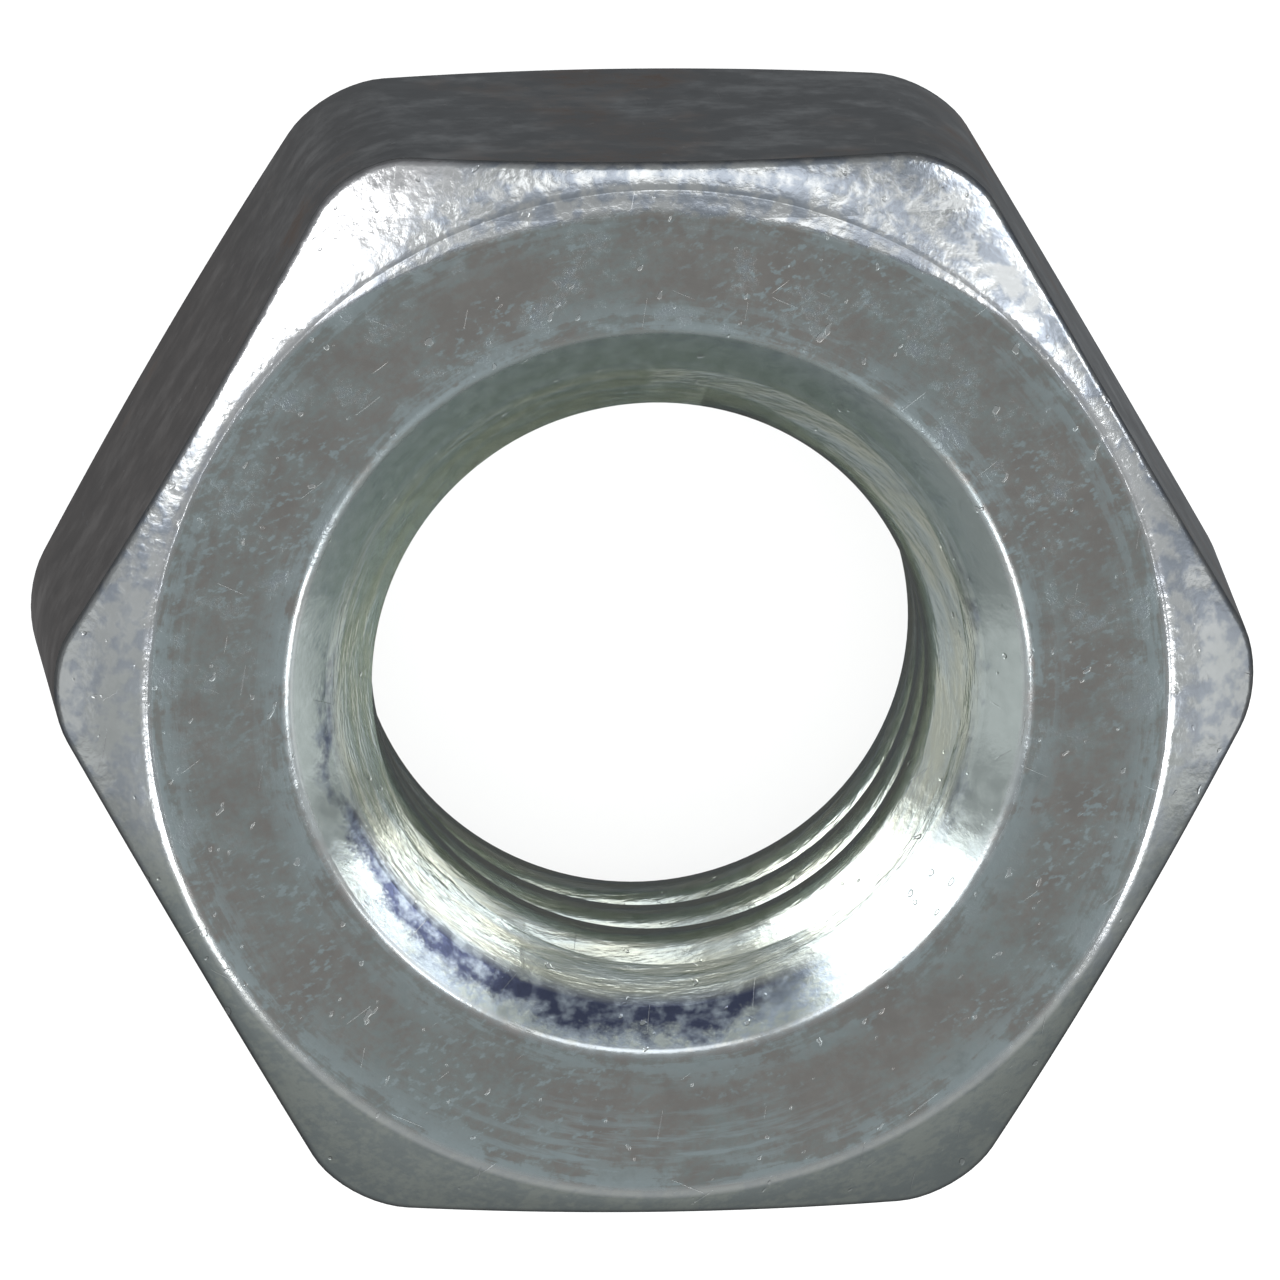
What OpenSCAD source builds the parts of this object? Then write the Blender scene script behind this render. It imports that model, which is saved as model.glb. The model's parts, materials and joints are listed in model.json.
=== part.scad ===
// M6 hex nut, coarse thread, lying flat on one of its two bearing faces.
// Frame: thread axis along +Z, origin in the middle of the lower face,
// two of the six flats square to Y and two corners on the X axis.

/* [Body] */
// Width across flats
across_flats = 10; // [9.6:0.05:10.6]
// Height from one bearing face to the other
nut_height = 4.7; // [4:0.1:6.5]
// Width across the six upright corners, which are turned round
corner_width = 11.2; // [11.05:0.05:11.4]
// Diameter of the flat ring that the corner chamfers leave
face_diameter = 9.55; // [9:0.05:9.55]
// Slope of the corner chamfers, in degrees from the face
chamfer_angle = 32; // [20:1:40]

/* [Thread] */
// Nominal diameter of the screw that fits
thread_diameter = 6; // [5.6:0.1:6.2]
// Distance between two turns of the thread
thread_pitch = 1; // [0.8:0.05:1]
// Diameter of the bore between the thread crests
bore_diameter = 5.14; // [4.95:0.01:5.15]
// Direction about the axis where the groove crosses the lower face
thread_start_angle = 167; // [2:5:357]

/* [Countersinks] */
// Widest diameter of the countersink at each face
sink_diameter = 6.9; // [6.4:0.05:7.2]
// Included angle of the countersink, in degrees
sink_angle = 90; // [80:5:120]

/* [Hidden] */

// A cut is carried this far past the surface it ends on.
overcut = 0.5;

corner_radius = corner_width / 2;
face_radius = face_diameter / 2;

// How far down the corners the chamfer reaches.
chamfer_drop = (corner_radius - face_radius) * tan(chamfer_angle);

bore_radius = bore_diameter / 2;
thread_radius = thread_diameter / 2;
sink_radius = sink_diameter / 2;

// Depth at which the countersink meets the bore.
sink_depth = (sink_radius - bore_radius) / tan(sink_angle / 2);

// The groove is a 60 degree vee with a flat bottom an eighth of a pitch wide.
groove_steps = 50;
groove_bottom = thread_pitch / 8;
groove_inner_radius = bore_radius - 0.15;
groove_opening = groove_bottom + 2 * (thread_radius - groove_inner_radius) * tan(30);

// The groove starts and ends in the open air beyond both faces.
groove_turns_below = 1;
groove_turns = ceil(nut_height / thread_pitch) + 2 * groove_turns_below;
groove_rings = groove_turns * groove_steps;

// Section of the groove: radius and height above its middle line.
groove_section = [
    [groove_inner_radius, -groove_opening / 2],
    [thread_radius, -groove_bottom / 2],
    [thread_radius, groove_bottom / 2],
    [groove_inner_radius, groove_opening / 2]
];
groove_sides = len(groove_section);

// Corner s of the section on ring i of a right-hand helix.
function groove_point(i, s) =
    let (
        turn = i / groove_steps - groove_turns_below,
        angle = 360 * turn + thread_start_angle,
        corner = groove_section[s]
    )
    [corner[0] * cos(angle), corner[0] * sin(angle), corner[1] + thread_pitch * turn];

// Two triangles between side s of ring i and the same side of the next ring.
function groove_wall(i, s) =
    let (
        here = i * groove_sides + s,
        next_side = i * groove_sides + (s + 1) % groove_sides,
        above = here + groove_sides,
        above_next = next_side + groove_sides
    )
    [[here, next_side, above], [next_side, above_next, above]];

// Solid that the thread groove is cut with: one continuous helical bar.
module thread_groove() {
    last_ring = groove_rings * groove_sides;
    points = [for (i = [0:groove_rings], s = [0:groove_sides - 1]) groove_point(i, s)];
    walls = [
        for (i = [0:groove_rings - 1], s = [0:groove_sides - 1])
            for (triangle = groove_wall(i, s)) triangle
    ];
    start_cap = [[0, 2, 1], [0, 3, 2]];
    end_cap = [for (t = [[0, 1, 2], [0, 2, 3]]) [for (s = t) last_ring + s]];
    polyhedron(points = points, faces = concat(walls, start_cap, end_cap));
}

// Turned blank: a cylinder whose two rims are chamfered from the face inwards.
module turned_blank() {
    rotate_extrude($fn = 180)
        polygon([
            [0, 0],
            [face_radius, 0],
            [corner_radius, chamfer_drop],
            [corner_radius, nut_height - chamfer_drop],
            [face_radius, nut_height],
            [0, nut_height]
        ]);
}

// Countersink cone that opens upwards from the bore to a face at height 0.
module sink_cone() {
    cone_height = sink_depth + overcut;
    cone_spread = overcut * tan(sink_angle / 2);
    translate([0, 0, -sink_depth])
        cylinder(h = cone_height, r1 = bore_radius, r2 = sink_radius + cone_spread, $fn = 120);
}

module bore() {
    translate([0, 0, -overcut])
        cylinder(h = nut_height + 2 * overcut, r = bore_radius, $fn = 120);
    translate([0, 0, nut_height])
        sink_cone();
    mirror([0, 0, 1])
        sink_cone();
}

// The nut before its thread is cut.
module bored_blank() {
    difference() {
        intersection() {
            cylinder(h = nut_height, d = across_flats / cos(30), $fn = 6);
            turned_blank();
        }
        bore();
    }
}

module nut_body() {
    color("#8f9796")
        difference() {
            bored_blank();
            thread_groove();
        }
}

nut_body();
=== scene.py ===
import json
import math

import bpy
from mathutils import Matrix, Vector


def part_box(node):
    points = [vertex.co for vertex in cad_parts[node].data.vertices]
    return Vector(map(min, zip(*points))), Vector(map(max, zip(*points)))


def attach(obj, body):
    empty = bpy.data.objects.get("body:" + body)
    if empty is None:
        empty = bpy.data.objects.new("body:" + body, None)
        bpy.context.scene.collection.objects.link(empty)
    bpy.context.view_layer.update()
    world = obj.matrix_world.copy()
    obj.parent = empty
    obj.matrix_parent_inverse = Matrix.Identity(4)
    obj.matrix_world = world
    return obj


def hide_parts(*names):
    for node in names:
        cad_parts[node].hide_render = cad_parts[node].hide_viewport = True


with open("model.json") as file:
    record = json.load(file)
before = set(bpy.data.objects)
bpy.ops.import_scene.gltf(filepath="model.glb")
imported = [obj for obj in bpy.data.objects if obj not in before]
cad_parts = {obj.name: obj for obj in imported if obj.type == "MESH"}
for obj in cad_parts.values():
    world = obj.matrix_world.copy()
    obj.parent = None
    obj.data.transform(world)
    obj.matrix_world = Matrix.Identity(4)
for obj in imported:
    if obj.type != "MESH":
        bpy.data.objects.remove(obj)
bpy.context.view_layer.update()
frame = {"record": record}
print("frame loaded")

mm = 0.001
cadNode = "nut_body"
lowCorner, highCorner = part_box(cadNode)
mounts = {mount["name"]: mount for mount in frame["record"]["mounts"]}


def deselectAll():
    bpy.ops.object.select_all(action="DESELECT")


def makeActive(piece):
    deselectAll()
    piece.select_set(True)
    bpy.context.view_layer.objects.active = piece


def startEditing(piece, selectMode="EDGE"):
    makeActive(piece)
    bpy.ops.object.mode_set(mode="EDIT")
    bpy.ops.mesh.select_mode(type=selectMode)
    bpy.ops.mesh.select_all(action="DESELECT")


def stopEditing():
    bpy.ops.object.mode_set(mode="OBJECT")


def applyModifier(piece, kind, **settings):
    makeActive(piece)
    modifier = piece.modifiers.new(kind.title(), kind)
    for name, value in settings.items():
        setattr(modifier, name, value)
    bpy.ops.object.modifier_apply(modifier=modifier.name)


def cutWith(piece, tool, operation):
    applyModifier(piece, "BOOLEAN", operation=operation, object=tool, solver="EXACT")
    bpy.data.objects.remove(tool)


# the nut is modelled in millimetres and scaled down at the end
nutShape = {
    "acrossFlats": (highCorner.y - lowCorner.y) / mm,
    "acrossCorners": (highCorner.x - lowCorner.x) / mm,
    "height": (highCorner.z - lowCorner.z) / mm,
    "faceRadius": 4.775,
    "sinkRadius": 3.45,
    "chamferAngle": 32,
    "edgeRounding": 0.07,
    "edgeSteps": 3,
    "cornerSteps": 10,
    "turnedSteps": 192,
    "crispAngle": 18,  # edges that turn more than this are rounded
    "smoothAngle": 32,  # edges that turn less than this are shaded smooth
    "barSpare": 1,  # extra length of the hexagon bar
    "blankSpare": 0.15,  # how far the turned blank stands out past the corners
    "weldDistance": 0.0002,
}

thread = {
    "crestRadius": mounts["thread"]["dims"]["r_mm"],
    "rootRadius": 3.0,
    "pitch": 1.0,
    "flankAngle": 30,
    "startAngle": 167,
    "steps": 144,
    "boreSpare": 0.12,  # left in the bore for the tap to cut away
    "tapSpare": 0.3,  # how far the tap stands out of both faces
    "weldDistance": 0.0005,
}


def makeHexBar(shape):
    sharpCorner = shape["acrossFlats"] / 2 / math.cos(math.radians(30))
    # a round bevel takes this share of its own width off a corner
    cornerLoss = 1 - math.cos(math.radians(45))
    rounding = (sharpCorner - shape["acrossCorners"] / 2) / cornerLoss
    bpy.ops.mesh.primitive_cylinder_add(
        vertices=6, radius=sharpCorner, depth=shape["height"] + shape["barSpare"],
        location=(0, 0, shape["height"] / 2), rotation=(0, 0, math.radians(30)))
    bar = bpy.context.object
    bpy.ops.object.transform_apply(location=True, rotation=True, scale=True)
    startEditing(bar)  # clears the selection, so that only the upright edges are picked below
    stopEditing()
    for edge in bar.data.edges:
        first, second = (bar.data.vertices[i].co for i in edge.vertices)
        edge.select = abs(first.z - second.z) > shape["height"]
    bpy.ops.object.mode_set(mode="EDIT")
    bpy.ops.mesh.bevel(offset=rounding, segments=shape["cornerSteps"],
                       profile=0.5, affect="EDGES", clamp_overlap=False)
    stopEditing()
    return bar


def makeTurnedBlank(shape, boreRadius):
    # section of the blank, from the bore outwards and round to the other end
    outerRadius = shape["acrossCorners"] / 2 + shape["blankSpare"]
    drop = (outerRadius - shape["faceRadius"]) * math.tan(math.radians(shape["chamferAngle"]))
    top = shape["height"]
    sinkDepth = shape["sinkRadius"] - boreRadius
    middle = (shape["sinkRadius"] + shape["faceRadius"]) / 2
    half = [(boreRadius, sinkDepth), (shape["sinkRadius"], 0), (middle, 0),
            (shape["faceRadius"], 0), (outerRadius, drop)]
    section = half + [(radius, top - height) for radius, height in reversed(half)]
    bpy.ops.mesh.primitive_circle_add(vertices=shape["turnedSteps"], radius=section[0][0],
                                      location=(0, 0, section[0][1]))
    blank = bpy.context.object
    bpy.ops.object.transform_apply(location=True, rotation=True, scale=True)
    startEditing(blank)
    bpy.ops.mesh.select_all(action="SELECT")
    for (radius, height), (nextRadius, nextHeight) in zip(section, section[1:]):
        bpy.ops.mesh.extrude_region()
        growth = nextRadius / radius
        bpy.ops.transform.resize(value=(growth, growth, 1), center_override=(0, 0, height))
        bpy.ops.transform.translate(value=(0, 0, nextHeight - height))
    # the two open rings are joined to close the bore
    bpy.ops.mesh.select_all(action="DESELECT")
    bpy.ops.mesh.select_non_manifold()
    bpy.ops.mesh.bridge_edge_loops()
    bpy.ops.mesh.select_all(action="SELECT")
    bpy.ops.mesh.normals_make_consistent(inside=False)
    stopEditing()
    return blank


def makeTap(thread, height):
    crest, root, pitch = thread["crestRadius"], thread["rootRadius"], thread["pitch"]
    slope = math.tan(math.radians(thread["flankAngle"]))
    rootHalf = pitch / 16  # half the width of the flat root
    crestHalf = pitch / 2 - rootHalf - (root - crest) * slope
    # half a tooth as heights and radii, from the middle of a crest to the middle of a root
    halfTooth = [
        (0, crest),
        (crestHalf * 0.35, crest + 0.006),  # the crest is rounded over
        (crestHalf * 0.65, crest + 0.022),
        (crestHalf * 0.92, crest + 0.048),
        (crestHalf + 0.035, crest + 0.085),
        (crestHalf + 0.130 * slope, crest + 0.130),  # the straight flank starts here
        (pitch / 2 - rootHalf - 0.050 * slope, root - 0.050),  # and ends here
        (pitch / 2 - rootHalf + 0.006, root - 0.012),
        (pitch / 2, root),
    ]
    tooth = halfTooth + [(pitch - z, radius) for z, radius in reversed(halfTooth[1:-1])]
    # it starts at a crest below the nut and ends at one above it
    turns = math.ceil(height / pitch) + 3
    rootHeight = (-thread["startAngle"] / 360) % 1 * pitch
    start = rootHeight - 2.5 * pitch
    chain = [(start + turn * pitch + z, radius) for turn in range(turns) for z, radius in tooth]
    chain.append((start + turns * pitch, crest))

    # a plane merged to one vertex, then pulled along the section
    bpy.ops.mesh.primitive_plane_add(size=0.1, location=(0, 0, 0))
    tap = bpy.context.object
    startEditing(tap, "VERT")
    bpy.ops.mesh.select_all(action="SELECT")
    bpy.ops.mesh.merge(type="CENTER")
    bpy.ops.transform.translate(value=(chain[0][1], 0, chain[0][0]))
    for (z, radius), (nextZ, nextRadius) in zip(chain, chain[1:]):
        bpy.ops.mesh.extrude_region_move(
            TRANSFORM_OT_translate={"value": (nextRadius - radius, 0, nextZ - z)})
    stopEditing()
    applyModifier(tap, "SCREW", axis="Z", angle=math.radians(360), screw_offset=pitch,
                  iterations=1, steps=thread["steps"], render_steps=thread["steps"])

    startEditing(tap, "VERT")
    bpy.ops.mesh.select_all(action="SELECT")
    bpy.ops.mesh.remove_doubles(threshold=thread["weldDistance"])
    spare = thread["tapSpare"]
    for level, below in ((-spare, True), (height + spare, False)):
        bpy.ops.mesh.select_all(action="SELECT")
        bpy.ops.mesh.bisect(plane_co=(0, 0, level), plane_no=(0, 0, 1), use_fill=True,
                            clear_inner=below, clear_outer=not below)
    bpy.ops.mesh.select_all(action="SELECT")
    bpy.ops.mesh.normals_make_consistent(inside=False)
    stopEditing()
    return tap


def roundEdges(piece, shape):
    # every crisp edge outside the thread: faces, countersink rims, chamfers and flats
    startEditing(piece)
    bpy.ops.mesh.edges_select_sharp(sharpness=math.radians(shape["crispAngle"]))
    stopEditing()
    threadEnd = shape["sinkRadius"] - 0.1  # just inside the countersink's rim
    for edge in piece.data.edges:
        middle = sum((piece.data.vertices[i].co for i in edge.vertices), Vector()) / 2
        if middle.xy.length < threadEnd:
            edge.select = False
    bpy.ops.object.mode_set(mode="EDIT")
    bpy.ops.mesh.bevel(offset=shape["edgeRounding"], segments=shape["edgeSteps"],
                       profile=0.5, affect="EDGES", clamp_overlap=False)
    stopEditing()


def makeNut(shape, thread):
    nut = makeTurnedBlank(shape, thread["crestRadius"] - thread["boreSpare"])
    cutWith(nut, makeTap(thread, shape["height"]), "DIFFERENCE")
    print("thread cut", len(nut.data.polygons), "faces")
    cutWith(nut, makeHexBar(shape), "INTERSECT")
    startEditing(nut, "VERT")
    bpy.ops.mesh.select_all(action="SELECT")
    bpy.ops.mesh.remove_doubles(threshold=shape["weldDistance"])
    stopEditing()
    roundEdges(nut, shape)

    nut.name = "hexNut"
    nut.scale = (mm, mm, mm)
    makeActive(nut)
    bpy.ops.object.transform_apply(location=True, rotation=True, scale=True)
    bpy.ops.object.shade_smooth_by_angle(angle=math.radians(shape["smoothAngle"]))
    applyModifier(nut, "WEIGHTED_NORMAL", weight=80, keep_sharp=True)
    print("nut threaded", len(nut.data.polygons), "faces")
    return nut


def newMaterial(name):
    material = bpy.data.materials.new(name)
    material.use_nodes = True
    return material, material.node_tree.nodes["Principled BSDF"]


# sizes are in millimetres; Levels are the values of a pattern between which a mark fades in
zincLook = {
    "warm": (0.345, 0.332, 0.318, 1),
    "cool": (0.335, 0.380, 0.378, 1),
    "rim": (0.42, 0.49, 0.51, 1),
    "sink": (0.585, 0.65, 0.635, 1),
    "darkBandBlue": (0.085, 0.10, 0.17, 1),
    "paleBlue": (0.40, 0.46, 0.53, 1),
    "blueSink": (0.50, 0.58, 0.66, 1),
    "spot": (0.40, 0.44, 0.50, 1),
    "plain": (0.65, 0.67, 0.68, 1),
    "thread": (0.65, 0.68, 0.59, 1),
    "shadedChamfer": (0.44, 0.475, 0.45, 1),
    "shadedChamferMottle": (0.36, 0.40, 0.40, 1),
    "flank": (0.49, 0.515, 0.535, 1),
    "paleFlank": (0.68, 0.71, 0.73, 1),
    "rust": (0.47, 0.385, 0.34, 1),
    "paintedHighlight": (0.85, 0.85, 0.87, 1),
    "cloudSize": 1.5,
    "patchSize": 0.50,
    "rippleSize": 0.17,
    "grainSize": 0.045,
    "smudgeSize": (1.4, 1.0, 0.5),
    "fleckSize": (0.10, 0.06, 0.08),
    "layerSize": (1, 1, 0.11),
    "dentSize": (0.16, 0.11, 0.14),
    "scratchSize": (0.9, 0.04, 1),
    "ringsPerMm": 9,
    "coolLevels": (1.02, 1.32),
    "bloomLevels": (0.94, 1.04),
    "scuffLevels": (0.50, 0.60),
    "fleckLevels": (0.56, 0.66),
    "fleckedZone": (0.44, 0.56),
    "spotLevels": (0.92, 1.12),
    "shadedMottleLevels": (0.82, 0.98),
    "wornLevels": (0.50, 0.75),
    "smudgedLevels": (0.50, 0.60),
    "tintLevels": (1.00, 1.30),
    "blueLevels": (0.80, 0.96),
    "threadLevels": (0.40, 0.62),
    "paleLevels": (0.95, 1.20),
    "dentLevels": (0.735, 0.77),
    "scratches": ((38, 0.775), (-24, 0.785), (81, 0.78)),  # direction and level
    "scratchFade": 0.02,
    "markStrength": 0.35,
    "rimStrength": 0.3,
    "rimFade": (0.07, 0.03),
    "bandRadius": 2.94,
    "bandFade": (0.23, 0.11),
    "wornReach": 0.26,
    "wornSlope": 0.32,
    "crownWidth": 0.70,
    "crownHeight": 0.16,
    "dentDepth": 0.005,
    "scratchDepth": 0.003,
    "grainDepth": 0.0006,
    "layerDepth": 0.016,
    "ringDepth": 0.0022,
    "roughnessLevels": (0.35, 0.65),
    "faceRoughness": (0.32, 0.42),
    "chamferRoughness": (0.16, 0.26),
}


def makeZinc(look, shape, thread):
    material, shader = newMaterial("blueZincPlate")
    nodes, links = material.node_tree.nodes, material.node_tree.links

    def add(kind, **settings):
        node = nodes.new("ShaderNode" + kind)
        for name, value in settings.items():
            setattr(node, name, value)
        return node

    def plug(socket, value):
        if isinstance(value, (int, float, tuple)):
            socket.default_value = value
        else:
            links.new(value, socket)

    def combine(operation, *values):
        node = add("Math", operation=operation)
        for socket, value in zip(node.inputs, values):
            plug(socket, value)
        return node.outputs[0]

    def both(first, second):
        return combine("MULTIPLY", first, second)

    def either(first, second):
        return combine("MAXIMUM", first, second)

    def outside(mask):
        return combine("SUBTRACT", 1, mask)

    def distance(first, second):
        return combine("ABSOLUTE", combine("SUBTRACT", first, second))

    def addShare(source, share, base):
        return combine("MULTIPLY_ADD", source, share, base)

    def spread(source, low, high, toLow=0, toHigh=1, smooth=False):
        node = add("MapRange", interpolation_type="SMOOTHSTEP" if smooth else "LINEAR")
        for name, value in (("Value", source), ("From Min", low), ("From Max", high),
                            ("To Min", toLow), ("To Max", toHigh)):
            plug(node.inputs[name], value)
        return node.outputs["Result"]

    def blend(factor, first, second):
        node = add("Mix", data_type="RGBA")
        plug(node.inputs[0], factor)
        plug(node.inputs[6], first)  # a Mix node's two colours are its sockets 6 and 7
        plug(node.inputs[7], second)
        return node.outputs[2]

    place = add("TexCoord")

    def measured(size, turn=0):
        # object coordinates counted in sizes given in millimetres, turned about the thread's axis
        node = add("Mapping", vector_type="TEXTURE")
        node.inputs["Scale"].default_value = [length * mm for length in size]
        node.inputs["Rotation"].default_value[2] = math.radians(turn)
        links.new(place.outputs["Object"], node.inputs["Vector"])
        return node.outputs["Vector"]

    def noiseOn(coordinates, size, detail=3, roughness=0.55):
        node = add("TexNoise")
        node.inputs["Scale"].default_value = 1 / size
        node.inputs["Detail"].default_value = detail
        node.inputs["Roughness"].default_value = roughness
        links.new(coordinates, node.inputs["Vector"])
        return node.outputs["Fac"]

    inMm = measured((1, 1, 1))
    split = add("SeparateXYZ")
    links.new(inMm, split.inputs["Vector"])
    x, y, z = split.outputs
    radius = combine("SQRT", combine("ADD", combine("POWER", x, 2), combine("POWER", y, 2)))
    halfHeight = shape["height"] / 2
    fromMiddle = distance(z, halfHeight)
    faceRadius, sinkRadius = shape["faceRadius"], shape["sinkRadius"]
    flatDistance = shape["acrossFlats"] / 2

    # where each surface lies; each mask fades in over a few hundredths of a millimetre
    inBore = spread(radius, sinkRadius - 0.06, sinkRadius + 0.02, 1, 0)
    onThread = spread(radius, thread["rootRadius"] - 0.05, thread["rootRadius"] + 0.08, 1, 0)
    onFace = spread(fromMiddle, halfHeight - 0.05, halfHeight - 0.01)
    outward = spread(radius, faceRadius - 0.05, faceRadius + 0.01)
    coneSlope = 0.62  # nearly the chamfer's own
    coneHeight = combine("ADD", fromMiddle, combine("MULTIPLY", radius, coneSlope))
    edgeHeight = halfHeight + coneSlope * faceRadius
    belowChamfer = spread(coneHeight, edgeHeight - 0.10, edgeHeight - 0.05, 1, 0)
    onFlank = both(spread(radius, flatDistance - 0.06, flatDistance - 0.02), belowChamfer)
    onChamfer = both(outward, outside(onFlank))

    # patterns, from the broadest to the finest
    cloud = noiseOn(inMm, look["cloudSize"], 3, 0.5)
    smudge = noiseOn(measured(look["smudgeSize"], 30), 1, 4, 0.6)
    patch = noiseOn(inMm, look["patchSize"], 6, 0.72)
    ripple = noiseOn(inMm, look["rippleSize"], 2, 0.5)
    fleck = noiseOn(measured(look["fleckSize"], 25), 1, 2, 0.6)
    grain = noiseOn(inMm, look["grainSize"], 2)
    layers = noiseOn(measured(look["layerSize"]), 0.9, 4, 0.6)

    # turning marks: fine across the radius and long round the axis
    rings = add("CombineXYZ")
    links.new(combine("MULTIPLY", radius, look["ringsPerMm"]), rings.inputs["X"])
    links.new(combine("MULTIPLY", x, 0.9), rings.inputs["Y"])
    links.new(combine("MULTIPLY", y, 0.9), rings.inputs["Z"])
    turned = noiseOn(rings.outputs["Vector"], 1, 4, 0.65)

    # flat faces: grey-brown with blue-green patches, paler towards both rims and scuffed on +Y
    mottle = addShare(fleck, 0.5, addShare(turned, 0.3, patch))
    nearRims = combine("ADD", spread(radius, faceRadius - 0.475, faceRadius - 0.055),
                       spread(radius, sinkRadius + 0.40, sinkRadius + 0.03))
    blotch = addShare(nearRims, 0.10, addShare(cloud, 0.5, mottle))
    colour = blend(spread(blotch, *look["coolLevels"]), look["warm"], look["cool"])
    bloom = both(nearRims, spread(combine("ADD", patch, turned), *look["bloomLevels"]))
    scuffs = both(spread(turned, *look["scuffLevels"]), spread(y, 3.7, 4.4))
    flecks = both(spread(fleck, *look["fleckLevels"]), spread(smudge, *look["fleckedZone"]))
    colour = blend(either(either(bloom, scuffs), flecks), colour, look["rim"])

    # chamfers: painted lighter on the -Y side as painted light, with blue-grey spots; painted
    # darker on the other side as painted shade, and greener and plainer there
    paintedLightSide = spread(addShare(y, -0.16, cloud), 0.1, 0.7)
    shadedChamfer = blend(spread(mottle, *look["shadedMottleLevels"]), look["shadedChamfer"], look["shadedChamferMottle"])
    chamfer = blend(paintedLightSide, shadedChamfer, look["plain"])
    # the chamfer round one corner, between +X and -Y, is painted near white as a painted highlight
    paintedHighlightCorner = spread(addShare(patch, 0.8, combine("SUBTRACT", x, y)), 6.9, 7.5)
    chamfer = blend(paintedHighlightCorner, chamfer, look["paintedHighlight"])
    spots = both(spread(combine("ADD", patch, ripple), *look["spotLevels"]), paintedLightSide)
    chamfer = blend(both(spots, outside(paintedHighlightCorner)), chamfer, look["spot"])
    # along the middle of one flat the chamfer is worn back over the face, elsewhere only in patches
    wornReach = spread(y, -4.5, -3.5, look["wornReach"], 0)
    wornStart = combine("SUBTRACT", faceRadius - 0.035, wornReach)
    wornBack = spread(radius, wornStart, faceRadius + 0.025, smooth=True)
    wornPatch = spread(addShare(patch, 0.9, wornBack), *look["wornLevels"])
    onBright = either(onChamfer, both(onFace, wornPatch))
    colour = blend(onBright, colour, chamfer)

    # countersink: green-grey, bluer on the +Y side, with a broken dark band below the rim there
    bandPath = addShare(y, 0.06, look["bandRadius"])
    bandEdge = addShare(combine("SUBTRACT", patch, 0.5), -0.7, distance(radius, bandPath))
    smudgedSide = spread(addShare(y, 0.08, smudge), *look["smudgedLevels"])
    # the band stops at one place, towards +Y and -X
    bandGap = spread(combine("SUBTRACT", y, x), 3.9, 4.3)
    band = both(spread(bandEdge, *look["bandFade"]), both(smudgedSide, outside(bandGap)))
    bandTone = addShare(patch, 0.8, addShare(fleck, 0.3, ripple))
    bandTint = spread(bandTone, *look["tintLevels"])
    blueSide = both(spread(y, 1.2, 2.8), spread(mottle, *look["blueLevels"]))
    sink = blend(blueSide, look["sink"], look["blueSink"])
    sink = blend(band, sink, blend(bandTint, look["darkBandBlue"], look["paleBlue"]))
    # the thread is yellower
    threadTint = spread(layers, *look["threadLevels"])
    sink = blend(onThread, sink, blend(threadTint, look["thread"], look["sink"]))
    colour = blend(inBore, colour, sink)

    # flats: darker and smudged, paler on the -X side and browner on the other
    pale = spread(combine("ADD", smudge, patch), *look["paleLevels"])
    paleSide = both(spread(x, -2.0, -4.5), spread(patch, 0.30, 0.60))
    flank = blend(either(pale, paleSide), look["flank"], look["paleFlank"])
    rusty = both(spread(cloud, 0.48, 0.66), spread(patch, 0.42, 0.62))
    rusty = either(rusty, spread(x, 2.2, 4.0, 0, 0.5))
    colour = blend(onFlank, colour, blend(rusty, flank, look["rust"]))

    # dents and fine scratches
    dents = spread(noiseOn(measured(look["dentSize"], 60), 1, 1), *look["dentLevels"])
    scratches = 0
    for turn, level in look["scratches"]:
        streak = noiseOn(measured(look["scratchSize"], turn), 1, 1)
        scratches = either(scratches, spread(streak, level, level + look["scratchFade"]))
    marks = combine("MULTIPLY", either(dents, scratches), look["markStrength"])
    colour = blend(marks, colour, look["plain"])

    # the two rims of each face are painted bright as highlight lines, the inner one less so on the
    # -Y side
    chamferRim = both(spread(distance(radius, faceRadius), *look["rimFade"]), spread(y, -4.5, -3.5))
    sinkRim = both(spread(distance(radius, sinkRadius), *look["rimFade"]), spread(y, -2.6, -1.0))
    onRim = either(chamferRim, sinkRim)
    paintedRimHighlight = combine("MULTIPLY", onRim, look["rimStrength"])
    colour = blend(paintedRimHighlight, colour, look["paintedHighlight"])
    links.new(colour, shader.inputs["Base Color"])

    faceRough = spread(patch, *look["roughnessLevels"], *look["faceRoughness"])
    chamferRough = spread(ripple, *look["roughnessLevels"], *look["chamferRoughness"])
    rough = add("Mix", data_type="FLOAT")
    plug(rough.inputs[0], either(either(onBright, inBore), onRim))
    plug(rough.inputs[2], faceRough)  # a Mix node's two numbers are its sockets 2 and 3
    plug(rough.inputs[3], chamferRough)
    links.new(rough.outputs[0], shader.inputs["Roughness"])
    shader.inputs["Metallic"].default_value = 1

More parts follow.
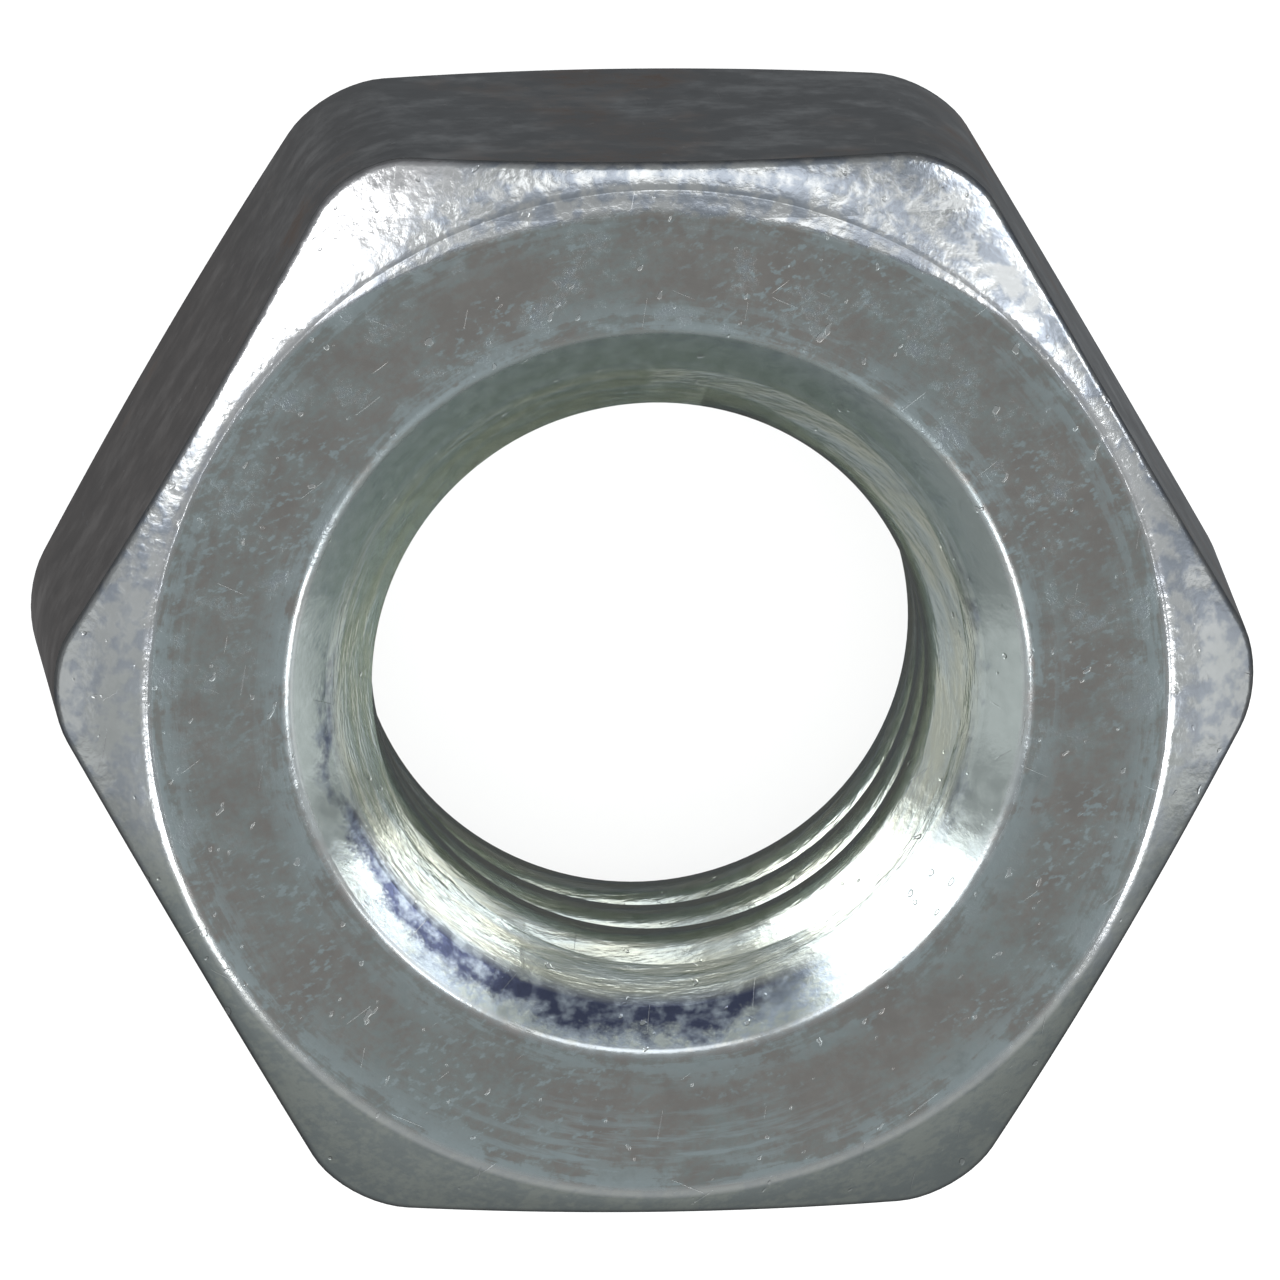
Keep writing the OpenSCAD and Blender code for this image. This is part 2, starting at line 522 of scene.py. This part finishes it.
    # unevenness in millimetres; the chamfers on the painted-light side (-Y) are the waviest, and
    # crowned
    pastRim = combine("MAXIMUM", combine("SUBTRACT", radius, faceRadius), 0)
    crown = combine("MULTIPLY", pastRim, combine("SUBTRACT", look["crownWidth"], pastRim))
    wavy = both(onBright, paintedLightSide)
    reliefs = (
        (ripple, addShare(wavy, 0.0080, 0.0020)),
        (patch, addShare(wavy, 0.0060, 0.0030)),
        (grain, look["grainDepth"]),
        (layers, combine("MULTIPLY", onThread, look["layerDepth"])),
        (turned, combine("MULTIPLY", onFace, look["ringDepth"])),
        (crown, combine("MULTIPLY", paintedLightSide, look["crownHeight"])),
        (wornBack, combine("MULTIPLY", wornReach, -look["wornSlope"])),
        (dents, -look["dentDepth"]),
        (scratches, -look["scratchDepth"]),
    )
    height = 0
    for relief, depth in reliefs:
        height = addShare(relief, depth, height)
    bump = add("Bump")
    bump.inputs["Strength"].default_value = 1
    bump.inputs["Distance"].default_value = mm
    links.new(height, bump.inputs["Height"])
    links.new(bump.outputs["Normal"], shader.inputs["Normal"])
    return material


floorLook = {"size": 6, "colour": (0.86, 0.86, 0.86, 1), "roughness": 0.9, "shine": 0.1}


def makeFloorPaint(look):
    material, shader = newMaterial("paleFloor")
    shader.inputs["Base Color"].default_value = look["colour"]
    shader.inputs["Roughness"].default_value = look["roughness"]
    shader.inputs["Specular IOR Level"].default_value = look["shine"]
    return material


view = {
    # the camera's axes seen from the nut, which lies with two corners along X
    "back": Vector((0.0714, -0.2139, 0.9742)),
    "up": Vector((-0.0125, -0.9769, -0.2135)),
    "distance": 0.4545,
    "frameWidth": 11.90 * mm,
    # where the middle of the upper face sits, right of and above the frame's middle
    "offset": (0.1734 * mm, -0.4922 * mm),
    "sensor": 36,
}


def makeCamera(view):
    back = view["back"].normalized()
    right = view["up"].cross(back).normalized()
    up = back.cross(right)
    data = bpy.data.cameras.new("camera")
    data.sensor_width = view["sensor"]
    data.lens = view["sensor"] * view["distance"] / view["frameWidth"]
    data.clip_start = 0.01
    data.clip_end = 10
    camera = bpy.data.objects.new("camera", data)
    bpy.context.scene.collection.objects.link(camera)
    upperFace = Vector((0, 0, highCorner.z))
    place = upperFace - right * view["offset"][0] - up * view["offset"][1] + back * view["distance"]
    camera.matrix_world = Matrix((
        (right.x, up.x, back.x, place.x),
        (right.y, up.y, back.y, place.y),
        (right.z, up.z, back.z, place.z),
        (0, 0, 0, 1)))
    bpy.context.scene.camera = camera


# turn and height are in degrees, seen from the nut; sizes and the distance are in metres
lightDistance = 0.4
lights = {
    "leftBox": {"turn": 322, "height": 26, "size": (0.27, 0.34), "brightness": 2.1},
    "rightBox": {"turn": 218, "height": 26, "size": (0.16, 0.18), "brightness": 0.65},
    "rightTop": {"turn": 212, "height": 42, "size": (0.14, 0.05), "brightness": 3.4},
    "backBox": {"turn": 260, "height": 38, "size": (0.24, 0.14), "brightness": 1.1},
    "leftFill": {"turn": 12, "height": 8, "size": (0.18, 0.18), "brightness": 0.32},
    "rightFill": {"turn": 168, "height": 8, "size": (0.20, 0.24), "brightness": 0.45},
    "rightLow": {"turn": 215, "height": 7, "size": (0.27, 0.07), "brightness": 4.0},
    "lowLeft": {"turn": 40, "height": 52, "size": (0.10, 0.10), "brightness": 4.8},
    "lowRight": {"turn": 153, "height": 45, "size": (0.10, 0.10), "brightness": 4.8},
}
floorGlow = {"height": 1.2, "size": 1.5, "brightness": 3.2}


def makeLight(name, light, receivers):
    turn, height = math.radians(light["turn"]), math.radians(light["height"])
    direction = Vector((math.cos(turn) * math.cos(height), math.sin(turn) * math.cos(height),
                        math.sin(height)))
    data = bpy.data.lights.new(name, "AREA")
    data.shape = "RECTANGLE"
    data.size, data.size_y = light["size"]
    data.energy = light["brightness"] * math.pi * data.size * data.size_y
    lamp = bpy.data.objects.new(name, data)
    bpy.context.scene.collection.objects.link(lamp)
    lamp.location = direction * lightDistance
    lamp.rotation_euler = direction.to_track_quat("Z", "Y").to_euler()
    lamp.visible_camera = False
    lamp.light_linking.receiver_collection = receivers


# the room's greys from straight down (0) to straight up (1)
roomGreys = (
    (0.20, (0.095, 0.097, 0.10, 1)),
    (0.40, (0.235, 0.24, 0.245, 1)),
    (0.56, (0.30, 0.31, 0.31, 1)),
    (0.80, (0.55, 0.56, 0.56, 1)),
    (1.00, (0.36, 0.37, 0.37, 1)),
)


def makeWorld(greys):
    world = bpy.data.worlds.new("studio")
    bpy.context.scene.world = world
    world.use_nodes = True
    nodes, links = world.node_tree.nodes, world.node_tree.links
    place = nodes.new("ShaderNodeTexCoord")
    split = nodes.new("ShaderNodeSeparateXYZ")
    ramp = nodes.new("ShaderNodeValToRGB")
    links.new(place.outputs["Generated"], split.inputs["Vector"])
    height = nodes.new("ShaderNodeMapRange")
    height.inputs["From Min"].default_value = -1
    height.inputs["From Max"].default_value = 1
    links.new(split.outputs["Z"], height.inputs["Value"])
    links.new(height.outputs["Result"], ramp.inputs["Fac"])
    stops = ramp.color_ramp.elements
    stops.remove(stops[1])  # a new ramp has two stops, and the first is used again
    stops[0].position, stops[0].color = greys[0]
    for level, grey in greys[1:]:
        stops.new(level).color = grey
    links.new(ramp.outputs["Color"], nodes["Background"].inputs["Color"])


def makeFloor(look):
    bpy.ops.mesh.primitive_plane_add(size=look["size"], location=(0, 0, lowCorner.z))
    floor = bpy.context.object
    floor.name = "floor"
    floor.data.materials.append(makeFloorPaint(look))
    # polished metal would mirror the pale floor, so reflections see the dark ground of the world
    floor.visible_glossy = False
    return floor


def lightGroup(name, pieces):
    group = bpy.data.collections.new(name)
    for piece in pieces:
        group.objects.link(piece)
    return group


def makeFloorGlow(glow, floor):
    # an even wash on the floor alone, which stays pale round the nut and through its bore
    data = bpy.data.lights.new("floorGlow", "AREA")
    data.size = glow["size"]
    data.energy = glow["brightness"] * math.pi * data.size ** 2
    lamp = bpy.data.objects.new("floorGlow", data)
    bpy.context.scene.collection.objects.link(lamp)
    lamp.location = (0, 0, glow["height"])
    lamp.visible_camera = False
    floorOnly = lightGroup("floorOnly", [floor])
    lamp.light_linking.receiver_collection = floorOnly
    lamp.light_linking.blocker_collection = floorOnly


makeCamera(view)
makeWorld(roomGreys)
floor = makeFloor(floorLook)
makeFloorGlow(floorGlow, floor)
print("studio set")

hexNut = makeNut(nutShape, thread)
hexNut.data.materials.clear()
hexNut.data.materials.append(makeZinc(zincLook, nutShape, thread))
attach(hexNut, "root")
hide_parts(cadNode)

nutOnly = lightGroup("nutOnly", [hexNut])
for name, light in lights.items():
    makeLight(name, light, nutOnly)
print("nut finished")

bpy.context.scene.view_settings.view_transform = "Standard"
